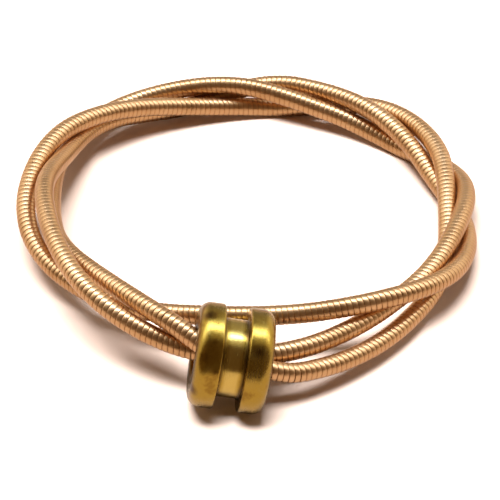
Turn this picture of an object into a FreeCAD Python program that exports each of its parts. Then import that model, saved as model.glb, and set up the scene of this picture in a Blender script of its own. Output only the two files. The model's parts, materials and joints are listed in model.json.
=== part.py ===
import FreeCAD, Part
import math
import os
import Sketcher

# Finger ring bent from one wound acoustic-guitar string.
#
# The string goes round three times, its laps loosely twisted together like a
# rope, and its own brass ball end is threaded on as a bead.  Two laps run
# through the bead's bore; the third passes behind the bead.  Both string ends
# butt inside the bore, so neither shows.
#
# Frame: millimetres, +Z up, origin in the middle of the ring's outline on the
# surface it lies on, z = 0, with the bead at the front (-Y).  The bead stands a little nose-down on the rim of its right flange and
# the laps rest on the surface at the back, so the ring tilts up to the front.

doc = FreeCAD.newDocument("string_ring")

# ---------------------------------------------------------------- dimensions
sheet = doc.addObject("Spreadsheet::Sheet", "Sizes")
SIZES = [
    # alias, value (mm or degrees), what it is
    ("stringDia", 0.813, "outside diameter of the wound string, 0.032 in"),
    ("coreDia", 0.356, "steel core wire, 0.014 in"),
    ("laySize", 1.0, "factor on the ring's route, 1 = as worn"),
    ("ringX", 0.497, "centre of the laps, from the middle of the outline"),
    ("ringY", 1.402, "centre of the laps, from the middle of the outline"),
    ("ballDia", 4.2, "ball end, outside diameter of the flanges"),
    ("ballLength", 3.05, "ball end, length along its bore"),
    ("grooveDia", 3.14, "ball end, floor of the string groove"),
    ("grooveWidth", 0.98, "ball end, width of the string groove"),
    ("boreDia", 2.01, "ball end, bore: two laps side by side"),
    ("outerRound", 0.48, "rounding of the flanges' outer corners"),
    ("grooveRound", 0.10, "rounding of the groove's top corners"),
    ("boreRound", 0.16, "rounding of the bore's mouths"),
    ("ballPosX", -0.637, "ball end centre"),
    ("ballPosY", -9.056, "ball end centre"),
    ("ballPosZ", 2.2515, "ball end centre"),
    ("ballYaw", -1.23, "bore axis, turn about Z"),
    ("ballDip", -9.58, "bore axis, slope of its right end"),
]
sheet.set("A1", "name")
sheet.set("B1", "value")
sheet.set("C1", "meaning")
for row, (alias, value, note) in enumerate(SIZES, start=2):
    sheet.set("A%d" % row, alias)
    sheet.set("B%d" % row, repr(value))
    sheet.set("C%d" % row, note)
    sheet.setAlias("B%d" % row, alias)
doc.recompute()

# The string's route, as the corners of a polygon that its runs lie on:
# (angle about Z in degrees, radius, height).  It starts inside the bore,
# leaves the bead to the right, goes round three times counter-clockwise seen
# from above and ends inside the bore, just short of where it started.
ROUTE = [
    (-96.00, 10.894, 2.512), (-86.00, 10.950, 1.725), (-75.99, 10.354, 1.308),
    (-66.03, 9.801, 1.038), (-56.04, 9.363, 0.910), (-46.08, 8.995, 0.891),
    (-36.09, 8.764, 0.866), (-26.10, 8.529, 0.877), (-16.13, 8.273, 0.972),
    (-6.17, 8.094, 1.149), (3.79, 8.097, 1.375), (13.75, 8.327, 1.563),
    (23.71, 8.712, 1.604), (33.70, 9.037, 1.500), (43.70, 9.297, 1.360),
    (53.73, 9.416, 1.150), (63.75, 9.287, 0.812), (73.70, 8.971, 0.475),
    (83.69, 8.691, 0.392), (93.67, 8.516, 0.545), (103.65, 8.411, 0.787),
    (113.62, 8.428, 1.131), (123.58, 8.578, 1.553), (133.55, 8.813, 1.962),
    (143.53, 9.111, 2.303), (153.50, 9.447, 2.539), (163.52, 9.673, 2.543),
    (173.51, 9.842, 2.385), (183.50, 9.970, 2.177), (193.52, 9.938, 1.937),
    (203.51, 9.663, 1.681), (213.48, 9.241, 1.561), (223.45, 8.865, 1.579),
    (233.44, 8.577, 1.727), (243.41, 8.332, 1.959), (253.37, 8.110, 2.161),
    (263.34, 7.955, 2.227), (273.32, 7.934, 2.263), (283.27, 8.135, 2.391),
    (293.22, 8.437, 2.521), (303.21, 8.733, 2.524), (313.20, 9.015, 2.356),
    (323.19, 9.238, 2.028), (333.19, 9.269, 1.607), (343.19, 9.137, 1.222),
    (353.18, 8.947, 0.916), (363.18, 8.689, 0.707), (373.15, 8.360, 0.665),
    (383.12, 8.169, 0.844), (393.07, 8.193, 1.146), (403.03, 8.325, 1.405),
    (413.02, 8.520, 1.540), (423.00, 8.756, 1.524), (432.98, 9.030, 1.409),
    (442.97, 9.347, 1.298), (453.00, 9.433, 0.981), (462.95, 9.284, 0.585),
    (472.96, 9.174, 0.462), (482.93, 9.264, 0.717), (492.89, 9.413, 1.095),
    (502.93, 9.367, 1.404), (512.94, 9.090, 1.706), (522.90, 8.869, 2.161),
    (532.84, 8.893, 2.731), (542.80, 9.060, 3.219), (552.81, 9.206, 3.482),
    (562.80, 9.417, 3.556), (572.76, 9.738, 3.532), (582.73, 10.103, 3.372),
    (592.73, 10.345, 3.066), (602.71, 10.418, 2.664), (612.69, 10.394, 2.282),
    (622.69, 10.245, 2.089), (632.73, 10.001, 1.975), (642.70, 9.500, 1.820),
    (652.62, 8.968, 1.685), (662.60, 8.618, 1.658), (672.57, 8.418, 1.709),
    (682.54, 8.401, 1.769), (692.51, 8.416, 1.849), (702.49, 8.458, 1.894),
    (712.47, 8.629, 1.842), (722.45, 8.914, 1.634), (732.44, 9.126, 1.252),
    (742.47, 9.093, 0.806), (752.44, 8.789, 0.449), (762.44, 8.467, 0.393),
    (772.41, 8.254, 0.613), (782.37, 8.112, 0.906), (792.35, 8.053, 1.158),
    (802.32, 8.217, 1.409), (812.27, 8.615, 1.569), (822.25, 9.125, 1.479),
    (832.20, 9.654, 1.212), (842.19, 10.091, 0.968), (852.24, 10.268, 0.851),
    (862.28, 10.126, 0.849), (872.27, 9.759, 0.946), (882.24, 9.334, 1.135),
    (892.20, 9.000, 1.407), (902.17, 8.850, 1.739), (912.15, 8.892, 2.100),
    (922.12, 9.034, 2.461), (932.10, 9.074, 2.784), (942.09, 9.092, 3.010),
    (952.07, 9.266, 3.172), (962.03, 9.675, 3.296), (972.02, 10.287, 3.246),
    (982.00, 10.991, 2.597),
]
RUN_SHARE = 0.45    # share of a run that each of its two corner arcs takes


def corner(polar, scale):
    a = math.radians(polar[0])
    return FreeCAD.Vector(float(sheet.ringX) + scale * polar[1] * math.cos(a),
                          float(sheet.ringY) + scale * polar[1] * math.sin(a), polar[2])


def route_wire(scale):
    """Straight runs joined by tangent arcs; returns the wire, its radii and first direction."""
    pts = [corner(p, scale) for p in ROUTE]
    edges, radii = [], []
    last = pts[0]
    for i in range(1, len(pts) - 1):
        back, ahead = pts[i - 1] - pts[i], pts[i + 1] - pts[i]
        reach = RUN_SHARE * min(back.Length, ahead.Length)
        back.normalize()
        ahead.normalize()
        half = 0.5 * (math.pi - back.getAngle(ahead))
        radius = reach / math.tan(half)
        split = back + ahead
        split.normalize()
        start = pts[i] + back * reach
        stop = pts[i] + ahead * reach
        middle = pts[i] + split * (radius / math.cos(half) - radius)
        edges.append(Part.LineSegment(last, start).toShape())
        edges.append(Part.Arc(start, middle, stop).toShape())
        radii.append(radius)
        last = stop
    edges.append(Part.LineSegment(last, pts[-1]).toShape())
    return Part.Wire(edges), radii, (pts[1] - pts[0])


spine = doc.addObject("Part::Feature", "StringRoute")
wire, radii, first = route_wire(float(sheet.laySize))
spine.Shape = wire
print("string length %.1f mm, bend radii %.2f to %.2f mm" % (wire.Length, min(radii), max(radii)))


def section_circle(name, alias):
    """A circle across the string's first run, its radius bound to the sheet."""
    ring = doc.addObject("Part::Circle", name)
    ring.setExpression("Radius", "Sizes.%s / 2" % alias)
    begin = corner(ROUTE[0], float(sheet.laySize))
    ring.Placement = FreeCAD.Placement(begin, FreeCAD.Rotation(FreeCAD.Vector(0, 0, 1), first))
    return ring


def sweep(name, profile):
    body = doc.addObject("Part::Sweep", name)
    body.Sections = [profile]
    body.Spine = (spine, [])
    body.Solid = True
    body.Frenet = False
    return body


# Steel core wire, the whole length of the string.
core = sweep("CoreWire", section_circle("CoreSection", "coreDia"))
core.Label = "core_wire"

# Bronze wrap, wound tight on the core for the whole length: the tube that its
# turns fill, from the core's surface to the string's outside.
outside = sweep("WrapOutside", section_circle("WrapSection", "stringDia"))
inside = sweep("WrapInside", section_circle("WrapBoreSection", "coreDia"))
wrap = doc.addObject("Part::Cut", "WrapWinding")
wrap.Base = outside
wrap.Tool = inside
wrap.Label = "wrap_winding"


# ------------------------------------------------------------------ ball end
def origin_feature(body, role):
    for feature in body.Origin.OriginFeatures:
        if feature.Role == role:
            return feature
    raise RuntimeError("no " + role)


ball = doc.addObject("PartDesign::Body", "BallEnd")
ball.Label = "ball_end"
# Half section through the axis: X along the bore, Y (the plane's Z) outwards.
half = ball.newObject("Sketcher::SketchObject", "BallSection")
half.AttachmentSupport = [(origin_feature(ball, "XZ_Plane"), "")]
half.MapMode = "FlatFace"
L2, G2 = float(sheet.ballLength) / 2, float(sheet.grooveWidth) / 2
RO, RG, RI = float(sheet.ballDia) / 2, float(sheet.grooveDia) / 2, float(sheet.boreDia) / 2
outline = [(-L2, RI), (-L2, RO), (-G2, RO), (-G2, RG), (G2, RG), (G2, RO), (L2, RO), (L2, RI)]
V3 = FreeCAD.Vector
for i, a in enumerate(outline):
    b = outline[(i + 1) % len(outline)]
    half.addGeometry(Part.LineSegment(V3(a[0], a[1], 0), V3(b[0], b[1], 0)), False)
n = len(outline)
for i in range(n):
    half.addConstraint(Sketcher.Constraint("Coincident", i, 2, (i + 1) % n, 1))
for i in (0, 2, 4, 6):
    half.addConstraint(Sketcher.Constraint("Vertical", i))
for i in (1, 5):
    half.addConstraint(Sketcher.Constraint("Horizontal", i))
# two flanges of one height, the bore and the groove symmetric about the middle
half.addConstraint(Sketcher.Constraint("Symmetric", 0, 1, 7, 1, -2))
half.addConstraint(Sketcher.Constraint("Symmetric", 2, 2, 4, 1, -2))
half.addConstraint(Sketcher.Constraint("Horizontal", 1, 1, 5, 2))


def bound(geo, p1, axis, expression, value, kind):
    number = half.addConstraint(Sketcher.Constraint(kind, *geo, value))
    half.setExpression("Constraints[%d]" % number, expression)


bound((-1, 1, 0, 1), None, None, "Sizes.boreDia / 2", RI, "DistanceY")
bound((-1, 1, 1, 1), None, None, "Sizes.ballDia / 2", RO, "DistanceY")
bound((-1, 1, 3, 1), None, None, "Sizes.grooveDia / 2", RG, "DistanceY")
bound((0, 1, 7, 1), None, None, "Sizes.ballLength", 2 * L2, "DistanceX")
bound((2, 2, 4, 1), None, None, "Sizes.grooveWidth", 2 * G2, "DistanceX")
doc.recompute()
spin = ball.newObject("PartDesign::Revolution", "BallTurned")
spin.Profile = half
spin.ReferenceAxis = (half, ["H_Axis"])
spin.Angle = 360.0
doc.recompute()
print("ball end sketch: solver", half.solve(), "free", not half.FullyConstrained, "revolved volume %.4f" % spin.Shape.Volume)


def round_edges(base, name, alias, wanted):
    """Fillet the circular edges of base that wanted(x, radius) picks."""
    names = []
    for k, edge in enumerate(base.Shape.Edges, start=1):
        curve = edge.Curve
        if isinstance(curve, Part.Circle) and wanted(curve.Center.x, curve.Radius):
            names.append("Edge%d" % k)
    if not names:
        raise RuntimeError("no edges for " + name)
    fillet = ball.newObject("PartDesign::Fillet", name)
    fillet.Base = (base, names)
    fillet.setExpression("Radius", "Sizes.%s" % alias)
    doc.recompute()
    return fillet


step = round_edges(spin, "FlangeCorners", "outerRound",
                   lambda x, r: abs(abs(x) - L2) < 0.01 and abs(r - RO) < 0.01)
step = round_edges(step, "BoreMouths", "boreRound",
                   lambda x, r: abs(abs(x) - L2) < 0.01 and abs(r - RI) < 0.01)
step = round_edges(step, "GrooveCorners", "grooveRound",
                   lambda x, r: abs(abs(x) - G2) < 0.01 and abs(r - RO) < 0.01)
ball.Tip = step
# bore axis = the body's X axis, dipped and turned into place
for axis_name, alias in (("x", "ballPosX"), ("y", "ballPosY"), ("z", "ballPosZ")):
    ball.setExpression("Placement.Base.%s" % axis_name, "Sizes.%s" % alias)
turn = FreeCAD.Rotation(V3(0, 0, 1), float(sheet.ballYaw)) * FreeCAD.Rotation(V3(0, 1, 0), -float(sheet.ballDip))
ball.Placement = FreeCAD.Placement(V3(float(sheet.ballPosX), float(sheet.ballPosY), float(sheet.ballPosZ)), turn)
doc.recompute()

# -------------------------------------------------------------------- checks
for item in doc.Objects:
    if "Invalid" in item.State or "Error" in item.State:
        raise RuntimeError("%s failed: %s" % (item.Name, item.State))
nodes = [core, wrap, ball]
for item in nodes:
    shape = item.Shape
    if shape.isNull() or not shape.isValid() or len(shape.Solids) != 1:
        raise RuntimeError("%s is not one valid solid" % item.Label)
    print("%-14s %9.4f mm3, %d faces" % (item.Label, shape.Volume, len(shape.Faces)))

area = math.pi / 4 * float(sheet.coreDia) ** 2
print("core volume / (section x length) = %.5f" % (core.Shape.Volume / (area * wire.Length)))
area = math.pi / 4 * (float(sheet.stringDia) ** 2 - float(sheet.coreDia) ** 2)
print("wrap volume / (section x length) = %.5f" % (wrap.Shape.Volume / (area * wire.Length)))
if abs(wrap.Shape.Volume / (area * wire.Length) - 1) > 0.01:
    raise RuntimeError("the winding's volume is off")

os.makedirs("parts", exist_ok=True)
for item in nodes:
    item.Shape.exportStep("parts/%s.step" % item.Label)
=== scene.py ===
import json
import math

import bpy
import numpy as np
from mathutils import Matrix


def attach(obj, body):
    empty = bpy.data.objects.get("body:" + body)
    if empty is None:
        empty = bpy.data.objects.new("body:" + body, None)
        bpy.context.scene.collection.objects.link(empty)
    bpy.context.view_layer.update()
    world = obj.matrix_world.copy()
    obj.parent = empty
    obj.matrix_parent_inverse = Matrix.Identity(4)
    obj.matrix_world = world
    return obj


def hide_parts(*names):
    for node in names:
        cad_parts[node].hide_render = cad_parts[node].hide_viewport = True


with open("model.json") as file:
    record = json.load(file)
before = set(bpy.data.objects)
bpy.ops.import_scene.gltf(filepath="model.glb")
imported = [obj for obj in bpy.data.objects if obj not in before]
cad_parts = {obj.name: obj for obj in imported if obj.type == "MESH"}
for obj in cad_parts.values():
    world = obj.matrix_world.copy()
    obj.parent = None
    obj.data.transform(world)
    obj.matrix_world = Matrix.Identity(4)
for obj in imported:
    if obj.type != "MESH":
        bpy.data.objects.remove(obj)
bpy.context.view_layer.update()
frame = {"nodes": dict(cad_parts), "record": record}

# ------------------------------------------------------------------- sizes
# metres; the string and the ball end are the CAD model's
MM = 0.001
STRING_R = 0.813 / 2 * MM
CORE_R = 0.356 / 2 * MM
WIRE_R = (STRING_R - CORE_R) / 2
WIRE_CROWN = 0.011 * MM  # how far the wire's back still stands proud of the seam between two turns
PITCH = 0.232 * MM
RING_X, RING_Y = 0.497, 1.402

# The string's route, three laps: (angle about Z in degrees, radius, height), mm
ROUTE = [
    (-96.00, 10.894, 2.512), (-86.00, 10.950, 1.725), (-75.99, 10.354, 1.308), (-66.03, 9.801, 1.038),
    (-56.04, 9.363, 0.910), (-46.08, 8.995, 0.891), (-36.09, 8.764, 0.866), (-26.10, 8.529, 0.877),
    (-16.13, 8.273, 0.972), (-6.17, 8.094, 1.149), (3.79, 8.097, 1.375), (13.75, 8.327, 1.563),
    (23.71, 8.712, 1.604), (33.70, 9.037, 1.500), (43.70, 9.297, 1.360), (53.73, 9.416, 1.150),
    (63.75, 9.287, 0.812), (73.70, 8.971, 0.475), (83.69, 8.691, 0.392), (93.67, 8.516, 0.545),
    (103.65, 8.411, 0.787), (113.62, 8.428, 1.131), (123.58, 8.578, 1.553), (133.55, 8.813, 1.962),
    (143.53, 9.111, 2.303), (153.50, 9.447, 2.539), (163.52, 9.673, 2.543), (173.51, 9.842, 2.385),
    (183.50, 9.970, 2.177), (193.52, 9.938, 1.937), (203.51, 9.663, 1.681), (213.48, 9.241, 1.561),
    (223.45, 8.865, 1.579), (233.44, 8.577, 1.727), (243.41, 8.332, 1.959), (253.37, 8.110, 2.161),
    (263.34, 7.955, 2.227), (273.32, 7.934, 2.263), (283.27, 8.135, 2.391), (293.22, 8.437, 2.521),
    (303.21, 8.733, 2.524), (313.20, 9.015, 2.356), (323.19, 9.238, 2.028), (333.19, 9.269, 1.607),
    (343.19, 9.137, 1.222), (353.18, 8.947, 0.916), (363.18, 8.689, 0.707), (373.15, 8.360, 0.665),
    (383.12, 8.169, 0.844), (393.07, 8.193, 1.146), (403.03, 8.325, 1.405), (413.02, 8.520, 1.540),
    (423.00, 8.756, 1.524), (432.98, 9.030, 1.409), (442.97, 9.347, 1.298), (453.00, 9.433, 0.981),
    (462.95, 9.284, 0.585), (472.96, 9.174, 0.462), (482.93, 9.264, 0.717), (492.89, 9.413, 1.095),
    (502.93, 9.367, 1.404), (512.94, 9.090, 1.706), (522.90, 8.869, 2.161), (532.84, 8.893, 2.731),
    (542.80, 9.060, 3.219), (552.81, 9.206, 3.482), (562.80, 9.417, 3.556), (572.76, 9.738, 3.532),
    (582.73, 10.103, 3.372), (592.73, 10.345, 3.066), (602.71, 10.418, 2.664), (612.69, 10.394, 2.282),
    (622.69, 10.245, 2.089), (632.73, 10.001, 1.975), (642.70, 9.500, 1.820), (652.62, 8.968, 1.685),
    (662.60, 8.618, 1.658), (672.57, 8.418, 1.709), (682.54, 8.401, 1.769), (692.51, 8.416, 1.849),
    (702.49, 8.458, 1.894), (712.47, 8.629, 1.842), (722.45, 8.914, 1.634), (732.44, 9.126, 1.252),
    (742.47, 9.093, 0.806), (752.44, 8.789, 0.449), (762.44, 8.467, 0.393), (772.41, 8.254, 0.613),
    (782.37, 8.112, 0.906), (792.35, 8.053, 1.158), (802.32, 8.217, 1.409), (812.27, 8.615, 1.569),
    (822.25, 9.125, 1.479), (832.20, 9.654, 1.212), (842.19, 10.091, 0.968), (852.24, 10.268, 0.851),
    (862.28, 10.126, 0.849), (872.27, 9.759, 0.946), (882.24, 9.334, 1.135), (892.20, 9.000, 1.407),
    (902.17, 8.850, 1.739), (912.15, 8.892, 2.100), (922.12, 9.034, 2.461), (932.10, 9.074, 2.784),
    (942.09, 9.092, 3.010), (952.07, 9.266, 3.172), (962.03, 9.675, 3.296), (972.02, 10.287, 3.246),
    (982.00, 10.991, 2.597),
]

# ------------------------------------------------------------------- camera
EL = math.radians(39.63)
target = np.array([0.115, -1.165, 1.275]) * MM
toward = np.array([0.0, math.cos(EL), -math.sin(EL)])
cam_data = bpy.data.cameras.new("camera")
cam = bpy.data.objects.new("camera", cam_data)
bpy.context.scene.collection.objects.link(cam)
cam.location = tuple(target - toward * 116.47 * MM)
cam.rotation_euler = (math.pi / 2 - EL, 0.0, 0.0)
cam_data.sensor_width = 36.0
cam_data.lens = 36.0 * 2767.9 / 500.0
cam_data.clip_start = 0.005
cam_data.clip_end = 10.0
bpy.context.scene.camera = cam


# ------------------------------------------------------------- mesh helpers
def mesh_object(name, verts, quads, attrs=None, ends=()):
    """verts (n,3), quads (m,4) as numpy arrays, and any end faces as vertex lists."""
    me = bpy.data.meshes.new(name)
    me.vertices.add(len(verts))
    me.vertices.foreach_set("co", np.asarray(verts, dtype=np.float32).ravel())
    sizes = np.array([4] * len(quads) + [len(e) for e in ends])
    corners = np.concatenate([np.asarray(quads).ravel()] + [np.array(e) for e in ends])
    me.loops.add(len(corners))
    me.loops.foreach_set("vertex_index", corners.astype(np.int32))
    me.polygons.add(len(sizes))
    me.polygons.foreach_set("loop_start", np.r_[0, np.cumsum(sizes)[:-1]].astype(np.int32))
    me.polygons.foreach_set("use_smooth", np.array([True] * len(quads) + [False] * len(ends)))
    me.update(calc_edges=True)
    me.validate()
    for key, values in (attrs or {}).items():
        layer = me.attributes.new(key, "FLOAT", "POINT")
        layer.data.foreach_set("value", np.asarray(values, dtype=np.float32))
    ob = bpy.data.objects.new(name, me)
    bpy.context.scene.collection.objects.link(ob)
    return ob


def centreline():
    """The string's smooth centreline, mm: the points of a NURBS spline through the route."""
    curve = bpy.data.curves.new("string_line", "CURVE")
    curve.dimensions = "3D"
    spline = curve.splines.new("NURBS")
    spline.points.add(len(ROUTE) - 1)
    for point, (a, r, z) in zip(spline.points, ROUTE):
        point.co = (RING_X + r * math.cos(math.radians(a)), RING_Y + r * math.sin(math.radians(a)), z, 1.0)
    spline.order_u = 3
    spline.use_endpoint_u = True
    spline.resolution_u = 48
    ob = bpy.data.objects.new("string_line", curve)
    me = bpy.data.meshes.new_from_object(ob)
    p = np.empty(len(me.vertices) * 3)
    me.vertices.foreach_get("co", p)
    p = p.reshape(-1, 3)
    bpy.data.meshes.remove(me)
    bpy.data.objects.remove(ob)
    bpy.data.curves.remove(curve)
    step = np.linalg.norm(np.diff(p, axis=0), axis=1)
    p = p[np.r_[True, step > 1e-6]]
    return p, np.r_[0, np.cumsum(np.linalg.norm(np.diff(p, axis=0), axis=1))]


def transported(p):
    """Tangents and a twist-free pair of normals along the points p."""
    d = np.gradient(p, axis=0)
    tan = d / np.linalg.norm(d, axis=1)[:, None]
    nor = np.zeros_like(p)
    v = np.array([0.0, 0.0, 1.0])
    for i in range(len(p)):
        v = v - (v @ tan[i]) * tan[i]
        v /= np.linalg.norm(v)
        nor[i] = v
    return tan, nor, np.cross(tan, nor)


def wire_section(half, crown, deep):
    """The wrap wire's section, wound so tight that its flanks are pressed flat: (outwards, along the string)."""
    across = [0.0, 0.30, 0.58, 0.82, 0.955]
    right = [(-crown * (u ** 2.2), u * half) for u in across]
    right += [(-crown * 1.8, half), (-deep, half * 0.97)]
    left = [(v, -u) for v, u in right[:0:-1]]
    return np.array(right + left)


def swept(name, centre, e1, e2, section, squeeze, attrs=None):
    """A closed bar of that section along the points, on the given cross directions, narrowed by squeeze."""
    n, sides = len(centre), len(section)
    wide = squeeze[:, None, None] * section[None, :, 1:]
    ring = e1[:, None, :] * section[None, :, :1] + e2[:, None, :] * wide
    verts = (centre[:, None, :] + ring).reshape(-1, 3)
    i = np.arange(n - 1)[:, None] * sides
    j = np.arange(sides)[None, :]
    k = (j + 1) % sides
    quads = np.stack([i + j, i + k, i + sides + k, i + sides + j], -1).reshape(-1, 4)
    ends = [tuple(range(sides))[::-1], tuple(range((n - 1) * sides, n * sides))]
    return mesh_object(name, verts, quads, attrs=attrs, ends=ends)


# ---------------------------------------------------------------- materials
def principled(name):
    mat = bpy.data.materials.new(name)
    mat.use_nodes = True
    nt = mat.node_tree
    nt.nodes.clear()
    out = nt.nodes.new("ShaderNodeOutputMaterial")
    bsdf = nt.nodes.new("ShaderNodeBsdfPrincipled")
    nt.links.new(bsdf.outputs[0], out.inputs[0])
    return mat, nt, bsdf


def noise(nt, scale, detail=4.0, rough=0.6, coord="Object"):
    tc = nt.nodes.new("ShaderNodeTexCoord")
    nz = nt.nodes.new("ShaderNodeTexNoise")
    nz.inputs["Scale"].default_value = scale
    nz.inputs["Detail"].default_value = detail
    nz.inputs["Roughness"].default_value = rough
    nt.links.new(tc.outputs[coord], nz.inputs["Vector"])
    return nz.outputs[0]


def ramp(nt, source, stops):
    r = nt.nodes.new("ShaderNodeValToRGB")
    r.color_ramp.interpolation = "EASE"
    while len(r.color_ramp.elements) < len(stops):
        r.color_ramp.elements.new(0.5)
    for el, (pos, col) in zip(r.color_ramp.elements, stops):
        el.position = pos
        el.color = (*col, 1.0) if len(col) == 3 else col
    nt.links.new(source, r.inputs[0])
    return r.outputs[0]


def bump(nt, bsdf, height, strength, distance):
    b = nt.nodes.new("ShaderNodeBump")
    b.inputs["Strength"].default_value = strength
    b.inputs["Distance"].default_value = distance
    nt.links.new(height, b.inputs["Height"])
    nt.links.new(b.outputs[0], bsdf.inputs["Normal"])
    return b


def mix_color(nt, factor, a, b, blend="MIX"):
    m = nt.nodes.new("ShaderNodeMix")
    m.data_type = "RGBA"
    m.blend_type = blend
    for socket, value in ((m.inputs[0], factor), (m.inputs[6], a), (m.inputs[7], b)):
        if isinstance(value, (tuple, float)):
            socket.default_value = (*value, 1.0) if isinstance(value, tuple) else value
        else:
            nt.links.new(value, socket)
    return m.outputs[2]


def attribute(nt, name):
    at_node = nt.nodes.new("ShaderNodeAttribute")
    at_node.attribute_type = "GEOMETRY"
    at_node.attribute_name = name
    return at_node.outputs["Fac"]


def combine(nt, x, y, z):
    c = nt.nodes.new("ShaderNodeCombineXYZ")
    for socket, value in zip(c.inputs, (x, y, z)):
        if isinstance(value, float):
            socket.default_value = value
        else:
            nt.links.new(value, socket)
    return c.outputs[0]


def scaled(nt, value, factor):
    m = nt.nodes.new("ShaderNodeMath")
    m.operation = "MULTIPLY"
    nt.links.new(value, m.inputs[0])
    m.inputs[1].default_value = factor
    return m.outputs[0]


def noise_at(nt, vector, scale, detail=3.0, rough=0.55):
    nz = nt.nodes.new("ShaderNodeTexNoise")
    nz.inputs["Scale"].default_value = scale
    nz.inputs["Detail"].default_value = detail
    nz.inputs["Roughness"].default_value = rough
    nt.links.new(vector, nz.inputs["Vector"])
    return nz.outputs[0]


def map_range(nt, value, low, high, a=0.0, b=1.0):
    m = nt.nodes.new("ShaderNodeMapRange")
    m.inputs["From Min"].default_value = a
    m.inputs["From Max"].default_value = b
    m.inputs["To Min"].default_value = low
    m.inputs["To Max"].default_value = high
    nt.links.new(value, m.inputs["Value"])
    return m.outputs[0]


def bronze():
    """80/20 bronze wrap wire: handled patches, darker and redder in the seams between turns (partly tarnish, partly
    painted shade), fine drawing lines along the wire.
    """
    mat, nt, b = principled("wrap_bronze")
    b.inputs["Metallic"].default_value = 1.0
    patches = noise(nt, 420.0, 5.0)
    tint = ramp(nt, patches, [(0.30, (0.56, 0.320, 0.140)), (0.50, (0.66, 0.395, 0.186)), (0.72, (0.74, 0.465, 0.235))])
    # painted shade: the seams between turns get a darker, redder tint, partly tarnish in the hollows, partly standing
    # in for their shade and the light bounced between turns
    depth = attribute(nt, "depth")
    groove = map_range(nt, depth, 0.0, 1.0, 0.25, 1.0)
    tint = mix_color(nt, groove, tint, (0.46, 0.19, 0.055))
    nt.links.new(tint, b.inputs["Base Color"])
    lines = noise_at(nt, combine(nt, scaled(nt, attribute(nt, "run"), 0.6), scaled(nt, attribute(nt, "section"), 9.0), 0.0),
                     1.0, 3.0)
    spots = noise(nt, 5200.0, 3.0)
    both = nt.nodes.new("ShaderNodeMath")
    both.operation = "ADD"
    nt.links.new(lines, both.inputs[0])
    nt.links.new(spots, both.inputs[1])
    nt.links.new(map_range(nt, both.outputs[0], 0.28, 0.39, 0.6, 1.4), b.inputs["Roughness"])
    bump(nt, b, both.outputs[0], 0.06, 0.000006)
    return mat


def brass():
    """Turned brass, tarnished: brown in blotches, and browner in the corners, at the bore's mouths, on the outer rims
    and over the flanges (tarnish and painted shade), a paler groove floor, faint turning marks.
    """
    mat, nt, b = principled("ball_end_brass")
    b.inputs["Metallic"].default_value = 1.0
    blotches = noise(nt, 1100.0, 6.0, 0.65)
    tint = ramp(nt, blotches, [(0.34, (0.29, 0.165, 0.025)), (0.47, (0.47, 0.300, 0.046)), (0.62, (0.58, 0.390, 0.076))])
    # tarnish and painted shade, per vertex: the corners, bore mouths, outer rims and flanges
    tarnish_and_shade = attribute(nt, "tarnish_and_shade")
    tarnish_and_shade_sum = nt.nodes.new("ShaderNodeMath")
    tarnish_and_shade_sum.operation = "MULTIPLY_ADD"
    nt.links.new(tarnish_and_shade, tarnish_and_shade_sum.inputs[0])
    tarnish_and_shade_sum.inputs[1].default_value = 1.25
    nt.links.new(map_range(nt, blotches, -0.35, 0.25, 0.3, 0.7), tarnish_and_shade_sum.inputs[2])
    dirt_and_shade = map_range(nt, tarnish_and_shade_sum.outputs[0], 0.03, 0.90, 0.0, 0.92)
    # where the tarnish-and-shade mask is lowest, on the groove's floor and in the bore, the metal is paler: partly
    # cleaner metal, partly a painted sheen
    tint = mix_color(nt, map_range(nt, tarnish_and_shade, 0.55, 0.0, 0.0, 0.12), tint, (0.76, 0.57, 0.165))
    # painted shade and tarnish: the mask and the blotches darken the metal towards dark brown
    tint = mix_color(nt, dirt_and_shade, tint, (0.085, 0.045, 0.012))
    # a few small pits
    tc = nt.nodes.new("ShaderNodeTexCoord")
    pits = nt.nodes.new("ShaderNodeTexVoronoi")
    pits.inputs["Scale"].default_value = 620.0
    pits.inputs["Randomness"].default_value = 1.0
    nt.links.new(tc.outputs["Object"], pits.inputs["Vector"])
    pit = map_range(nt, pits.outputs["Distance"], 0.9, 0.0, 0.06, 0.22)
    tint = mix_color(nt, pit, tint, (0.10, 0.045, 0.010))
    nt.links.new(tint, b.inputs["Base Color"])
    marks = noise_at(nt, combine(nt, scaled(nt, attribute(nt, "along"), 38.0), scaled(nt, attribute(nt, "turned"), 0.5), 0.0),
                     1.0, 4.0, 0.7)
    total = nt.nodes.new("ShaderNodeMath")
    total.operation = "ADD"
    nt.links.new(marks, total.inputs[0])
    nt.links.new(blotches, total.inputs[1])
    wear = nt.nodes.new("ShaderNodeMath")
    wear.operation = "ADD"
    nt.links.new(map_range(nt, total.outputs[0], 0.09, 0.26, 0.7, 1.3), wear.inputs[0])
    nt.links.new(scaled(nt, dirt_and_shade, 0.16), wear.inputs[1])
    nt.links.new(wear.outputs[0], b.inputs["Roughness"])
    bump(nt, b, total.outputs[0], 0.22, 0.000022)
    return mat


def steel():
    mat, nt, b = principled("core_steel")
    b.inputs["Metallic"].default_value = 1.0
    tint = ramp(nt, noise(nt, 2500.0), [(0.3, (0.42, 0.42, 0.43)), (0.7, (0.60, 0.60, 0.61))])
    nt.links.new(tint, b.inputs["Base Color"])
    b.inputs["Roughness"].default_value = 0.3
    return mat


# ------------------------------------------------------------------ winding
line, arc = centreline()
length = arc[-1]
mat_bronze = bronze()
STEPS = 24          # helix steps per turn
WIND_HAND = 1.0     # lay of the winding
turns = (length * MM - 2 * WIRE_R) / PITCH
count = int(turns * STEPS)
s_mm = (WIRE_R + np.arange(count + 1) / STEPS * PITCH) / MM
fine_s = np.arange(0, length, 0.02)
fine_p = np.stack([np.interp(fine_s, arc, line[:, k]) for k in range(3)], -1)
f_tan, f_nor, f_bin = transported(fine_p)


def at(values, s):
    v = np.stack([np.interp(s, fine_s, values[:, k]) for k in range(3)], -1)
    return v


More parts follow.
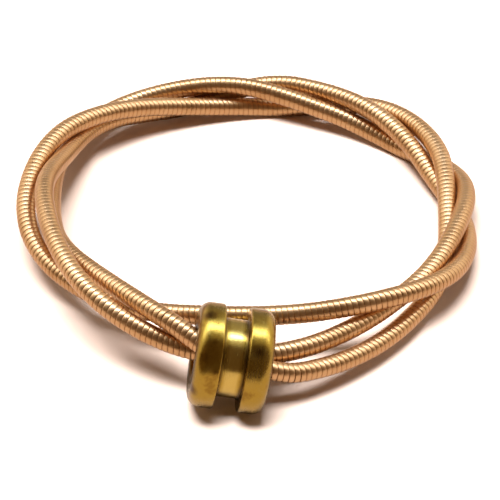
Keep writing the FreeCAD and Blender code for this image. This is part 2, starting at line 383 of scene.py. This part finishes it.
c = at(fine_p, s_mm) * MM
n1 = at(f_nor, s_mm)
n1 /= np.linalg.norm(n1, axis=1)[:, None]
b1 = at(f_bin, s_mm)
b1 /= np.linalg.norm(b1, axis=1)[:, None]
ang = WIND_HAND * 2 * np.pi * np.arange(count + 1) / STEPS
radial = np.cos(ang)[:, None] * n1 + np.sin(ang)[:, None] * b1
helix = c + radial * STRING_R
h_tan = np.gradient(helix, axis=0)
h_tan /= np.linalg.norm(h_tan, axis=1)[:, None]
e1 = radial - (radial * h_tan).sum(1)[:, None] * h_tan
e1 /= np.linalg.norm(e1, axis=1)[:, None]
e2 = np.cross(h_tan, e1)
section = wire_section(PITCH / 2 - 0.0015 * MM, WIRE_CROWN, 2 * WIRE_R * 0.97)
sides = len(section)
around = np.abs(section[:, 1]) / section[:, 1].max()
sunk = np.clip(-section[:, 0] / (1.6 * WIRE_CROWN), 0, 1)
# inside a bend the turns crowd together and each has a little less room
near = np.linalg.norm(helix[2 * STEPS:] - helix[:-2 * STEPS], axis=1) / 2 / PITCH
squeeze = np.minimum(np.r_[np.full(STEPS, near[0]), near, np.full(STEPS, near[-1])], 1.0)
laps = 3
for lap in range(laps):
    lo = lap * count // laps
    hi = min(count, (lap + 1) * count // laps) + 1
    shape = (hi - lo, sides)
    data = {"run": np.broadcast_to((np.arange(lo, hi) / STEPS * 1.835)[:, None], shape),
            "section": np.broadcast_to(around, shape), "depth": np.broadcast_to(sunk, shape)}
    data = {key: np.asarray(val, dtype=np.float32).ravel() for key, val in data.items()}
    piece = swept("winding_lap_%d" % (lap + 1), helix[lo:hi], e1[lo:hi], e2[lo:hi], section, squeeze[lo:hi], data)
    piece.data.materials.append(mat_bronze)
    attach(piece, "string")
    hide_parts("wrap_winding")

# the steel core is the CAD node itself
frame["nodes"]["core_wire"].data.materials.clear()
frame["nodes"]["core_wire"].data.materials.append(steel())


# ----------------------------------------------------------------- ball end
def arc_points(cx, cy, r, a0, a1, n):
    a = np.radians(np.linspace(a0, a1, n))
    return [(cx + r * math.cos(t), cy + r * math.sin(t)) for t in a]


def ball_profile():
    """Closed half section (x along the bore, y outwards), mm, counter-clockwise."""
    h, ro, rg, ri, g = 3.05 / 2, 2.1, 1.57, 1.005, 0.49
    co, cb, cg = 0.48, 0.16, 0.10
    p = []
    p += arc_points(-h + cb, ri + cb, cb, 270, 180, 9)
    p += arc_points(-h + co, ro - co, co, 180, 90, 21)
    p += arc_points(-g - cg, ro - cg, cg, 90, 0, 6)
    p += [(-g, rg + 0.03)] + [(-g + 0.03, rg)]
    p += [(g - 0.03, rg)] + [(g, rg + 0.03)]
    p += arc_points(g + cg, ro - cg, cg, 180, 90, 6)
    p += arc_points(h - co, ro - co, co, 90, 0, 21)
    p += arc_points(h - cb, ri + cb, cb, 0, -90, 9)
    return np.array(p)


joint = next(j for j in frame["record"]["behaviour"]["joints"] if j["name"] == "ball_end_spin")
axis = np.array(joint["axis"]) / np.linalg.norm(joint["axis"])
middle = np.array(joint["pos_m"])
up = np.array([0, 0, 1.0]) - axis[2] * axis
up /= np.linalg.norm(up)
side = np.cross(axis, up)


def lathe(name, profile, segments):
    m = len(profile)
    a = np.arange(segments) / segments * 2 * np.pi
    x = profile[:, 0][None, :, None] * MM * axis
    rad = (np.cos(a)[:, None, None] * up + np.sin(a)[:, None, None] * side) * (profile[:, 1][None, :, None] * MM)
    verts = (middle + x + rad).reshape(-1, 3)
    i = np.arange(segments)[:, None]
    j = np.arange(m)[None, :]
    i2, j2 = (i + 1) % segments, (j + 1) % m
    quads = np.stack([i * m + j, i * m + j2, i2 * m + j2, i2 * m + j], -1).reshape(-1, 4)
    # tarnish and painted shade in the groove's corners and at the bore's mouths
    px, py = np.abs(profile[:, 0]), profile[:, 1]
    corner = np.hypot(px - 0.49, py - 1.57)
    mouth = np.hypot(px - 1.525, py - 1.05)
    tarnish_and_shade = np.maximum(np.exp(-(corner / 0.11) ** 2), 0.9 * np.exp(-(mouth / 0.22) ** 2))
    # painted shade on the outer rims and end faces, darker towards each end
    tarnish_and_shade = np.maximum(tarnish_and_shade, 0.55 * np.clip((1.525 + 0.0 - 1.0 * (1.525 - px) - 1.36) / 0.165, 0, 1))
    # painted shade over all the flanges, none on the groove's floor, which stays the palest metal
    tarnish_and_shade = np.maximum(tarnish_and_shade, np.where(py > 1.6, 0.20, 0.0))
    full = (segments, m)
    data = {"tarnish_and_shade": np.broadcast_to(tarnish_and_shade, full), "along": np.broadcast_to(profile[:, 0] + 0.7 * profile[:, 1], full),
            "turned": np.broadcast_to(np.minimum(a, 2 * np.pi - a)[:, None], full)}
    return mesh_object(name, verts, quads, attrs={k: np.asarray(v, dtype=np.float32).ravel() for k, v in data.items()})


def refine(profile, step):
    out = []
    for p, q in zip(profile, np.roll(profile, -1, axis=0)):
        n = max(1, int(np.hypot(*(q - p)) / step))
        for k in range(n):
            out.append(p + (q - p) * k / n)
    return np.array(out)


ball = lathe("ball_end_turned", refine(ball_profile(), 0.12), 160)
ball.data.materials.append(brass())
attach(ball, "bead")
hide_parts("ball_end")

# ------------------------------------------------------------ floor, lights
FLOOR = (0.90, 0.73, 0.64)
FLOOR_SEEN_IN_METAL = 0.50
fm = bpy.data.materials.new("floor_white")
fm.use_nodes = True
fnt = fm.node_tree
fnt.nodes.clear()
fo = fnt.nodes.new("ShaderNodeOutputMaterial")
f_direct = fnt.nodes.new("ShaderNodeBsdfDiffuse")
f_direct.inputs[0].default_value = (*FLOOR, 1.0)
f_metal = fnt.nodes.new("ShaderNodeBsdfDiffuse")
f_metal.inputs[0].default_value = (*(c * FLOOR_SEEN_IN_METAL for c in FLOOR), 1.0)
f_path = fnt.nodes.new("ShaderNodeLightPath")
f_mix = fnt.nodes.new("ShaderNodeMixShader")
fnt.links.new(f_path.outputs["Is Glossy Ray"], f_mix.inputs[0])
fnt.links.new(f_direct.outputs[0], f_mix.inputs[1])
fnt.links.new(f_metal.outputs[0], f_mix.inputs[2])
fnt.links.new(f_mix.outputs[0], fo.inputs[0])
me = bpy.data.meshes.new("floor")
R = 3.0
me.from_pydata([(-R, -R, 0), (R, -R, 0), (R, R, 0), (-R, R, 0)], [], [(0, 1, 2, 3)])
floor = bpy.data.objects.new("floor", me)
floor.data.materials.append(fm)
bpy.context.scene.collection.objects.link(floor)


def area(name, centre_dir_el, azimuth, distance, size_x, size_y, power, color=(1, 1, 1)):
    """An area light aimed at the origin from that elevation and azimuth (0 = from behind, +Y)."""
    el, az = math.radians(centre_dir_el), math.radians(azimuth)
    d = np.array([math.sin(az) * math.cos(el), math.cos(az) * math.cos(el), math.sin(el)])
    data = bpy.data.lights.new(name, "AREA")
    data.shape = "RECTANGLE"
    data.size, data.size_y = size_x, size_y
    data.energy = power
    data.color = color
    ob = bpy.data.objects.new(name, data)
    ob.location = tuple(d * distance)
    z = d
    x = np.cross([0, 1.0, 0], z)
    if np.linalg.norm(x) < 1e-3:
        x = np.array([1.0, 0, 0])
    x /= np.linalg.norm(x)
    y = np.cross(z, x)
    import mathutils
    m = mathutils.Matrix(((x[0], y[0], z[0]), (x[1], y[1], z[1]), (x[2], y[2], z[2])))
    ob.rotation_euler = m.to_euler()
    bpy.context.scene.collection.objects.link(ob)
    return ob


def panel(name, elevation, azimuth, distance, size_x, size_y, radiance, color=(1, 1, 1)):
    ob = area(name, elevation, azimuth, distance, size_x, size_y, radiance * math.pi * size_x * size_y, color)
    return ob


# a long soft light above and behind: pale at its edges, brighter towards its middle, with the lamp at its heart
glow = [panel("softbox_edge", 70.0, 0.0, 0.50, 1.60, 0.29, 1.0, (0.80, 1.0, 1.35)),
        panel("softbox", 71.5, 0.0, 0.49, 1.50, 0.18, 1.7, (0.80, 1.0, 1.35)),
        panel("lamp", 73.8, 0.0, 0.48, 0.40, 0.085, 8.2, (0.86, 1.0, 1.28))]
for light in glow:
    light.visible_diffuse = False
fill = panel("overhead", 77.5, 207.0, 0.52, 0.27, 0.16, 44.0)
fill.visible_glossy = False

# the studio: dim, darkest where the camera stands
world = bpy.data.worlds.new("studio")
bpy.context.scene.world = world
world.use_nodes = True
wt = world.node_tree
wt.nodes.clear()
wo = wt.nodes.new("ShaderNodeOutputWorld")
bg = wt.nodes.new("ShaderNodeBackground")
wtc = wt.nodes.new("ShaderNodeTexCoord")
dot = wt.nodes.new("ShaderNodeVectorMath")
dot.operation = "DOT_PRODUCT"
DARK_EL = math.radians(78.0)
dot.inputs[1].default_value = (0.0, math.sin(DARK_EL), math.cos(DARK_EL))
edge = wt.nodes.new("ShaderNodeMapRange")
edge.interpolation_type = "SMOOTHSTEP"
edge.inputs["From Min"].default_value = -0.10
edge.inputs["From Max"].default_value = 0.15
wmix = wt.nodes.new("ShaderNodeMix")
wmix.data_type = "RGBA"
wmix.inputs[6].default_value = (0.115, 0.070, 0.036, 1.0)
wmix.inputs[7].default_value = (0.345, 0.312, 0.262, 1.0)
wt.links.new(wtc.outputs["Generated"], dot.inputs[0])
wt.links.new(dot.outputs["Value"], edge.inputs["Value"])
wt.links.new(edge.outputs[0], wmix.inputs[0])
# and brighter towards its sides than straight behind, more so at the back
split = wt.nodes.new("ShaderNodeSeparateXYZ")
wt.links.new(wtc.outputs["Generated"], split.inputs[0])
aside = wt.nodes.new("ShaderNodeMath")
aside.operation = "ABSOLUTE"
wt.links.new(split.outputs[0], aside.inputs[0])
flank = wt.nodes.new("ShaderNodeMapRange")
flank.interpolation_type = "SMOOTHSTEP"
for key, value in (("From Min", 0.10), ("From Max", 0.60), ("To Min", 1.0)):
    flank.inputs[key].default_value = value
rise = wt.nodes.new("ShaderNodeMapRange")
rise.inputs["To Min"].default_value = 1.5
rise.inputs["To Max"].default_value = 3.4
wt.links.new(edge.outputs[0], rise.inputs["Value"])
wt.links.new(rise.outputs[0], flank.inputs["To Max"])
wt.links.new(aside.outputs[0], flank.inputs["Value"])
# little of the studio's dimness reaches the floor's shadows
w_kind = wt.nodes.new("ShaderNodeLightPath")
shade = wt.nodes.new("ShaderNodeMapRange")
shade.inputs["To Min"].default_value = 1.0
shade.inputs["To Max"].default_value = 0.35
wt.links.new(w_kind.outputs["Is Diffuse Ray"], shade.inputs["Value"])
strength = wt.nodes.new("ShaderNodeMath")
strength.operation = "MULTIPLY"
wt.links.new(flank.outputs[0], strength.inputs[0])
wt.links.new(shade.outputs[0], strength.inputs[1])
wt.links.new(strength.outputs[0], bg.inputs[1])
wt.links.new(wmix.outputs[2], bg.inputs[0])
# a pale backdrop behind the floor's edge
pale = wt.nodes.new("ShaderNodeBackground")
pale.inputs[0].default_value = (0.93, 0.91, 0.89, 1.0)
w_path = wt.nodes.new("ShaderNodeLightPath")
w_pick = wt.nodes.new("ShaderNodeMixShader")
wt.links.new(w_path.outputs["Is Camera Ray"], w_pick.inputs[0])
wt.links.new(bg.outputs[0], w_pick.inputs[1])
wt.links.new(pale.outputs[0], w_pick.inputs[2])
wt.links.new(w_pick.outputs[0], wo.inputs[0])

bpy.context.scene.view_settings.view_transform = "Standard"
